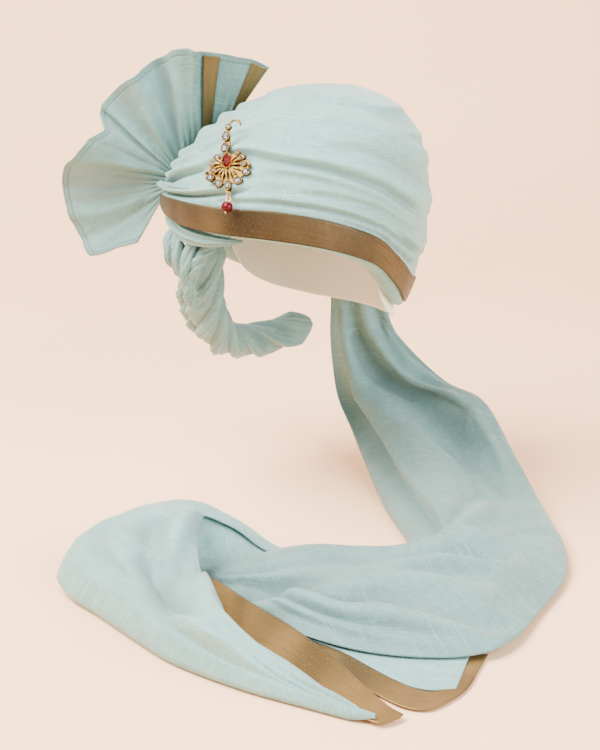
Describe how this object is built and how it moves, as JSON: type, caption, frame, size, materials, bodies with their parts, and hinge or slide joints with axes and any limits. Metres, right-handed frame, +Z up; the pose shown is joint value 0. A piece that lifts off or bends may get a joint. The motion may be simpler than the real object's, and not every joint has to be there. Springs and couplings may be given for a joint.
{
  "type": "tied turban",
  "caption": "Tied pagri turban in mint silk cotton with a gold border, pleated side fan, twisted side roll, jewelled brooch and a long trailing tail",
  "frame": {"origin": "inside top of the crown, where the wearer's head presses", "axes": "+Z up, -Y the way the wearer faces, +X towards the picture's right"},
  "size_m": [0.4414, 0.5734, 0.4071],
  "materials": {
    "mint_cloth": "soft sheen, slub weave",
    "gold_border": "metallic thread weave",
    "lining_cotton": "matt",
    "brooch_gold": "polished gold plate",
    "crystal": "cut and polished",
    "ruby": "cut and polished",
    "red_bead": "polished"
  },
  "bodies": {
    "root": {"crown_wrap": "mint_cloth", "under_wrap": "mint_cloth", "knot_roll": "mint_cloth", "side_roll": "mint_cloth", "outer_strand": "mint_cloth", "twisted_roll": "mint_cloth", "fan": "mint_cloth", "tail_fall": "mint_cloth", "tail_turn": "mint_cloth", "tail_panel": "mint_cloth", "front_border": "gold_border", "fan_border_front": "gold_border", "fan_border_back": "gold_border", "tail_border_front": "gold_border", "tail_border_inner": "gold_border", "lining_band": "lining_cotton", "brooch_setting": "brooch_gold", "drop_link": "brooch_gold", "bead_pin": "brooch_gold", "ruby_stone": "ruby", "clear_stone_01": "crystal", "clear_stone_02": "crystal", "clear_stone_03": "crystal", "clear_stone_04": "crystal", "clear_stone_05": "crystal", "clear_stone_06": "crystal", "clear_stone_07": "crystal", "clear_stone_08": "crystal", "clear_stone_09": "crystal", "clear_stone_10": "crystal", "clear_stone_11": "crystal", "clear_stone_12": "crystal", "clear_stone_13": "crystal", "clear_stone_14": "crystal", "red_bead": "red_bead"}
  },
  "joints": []
}
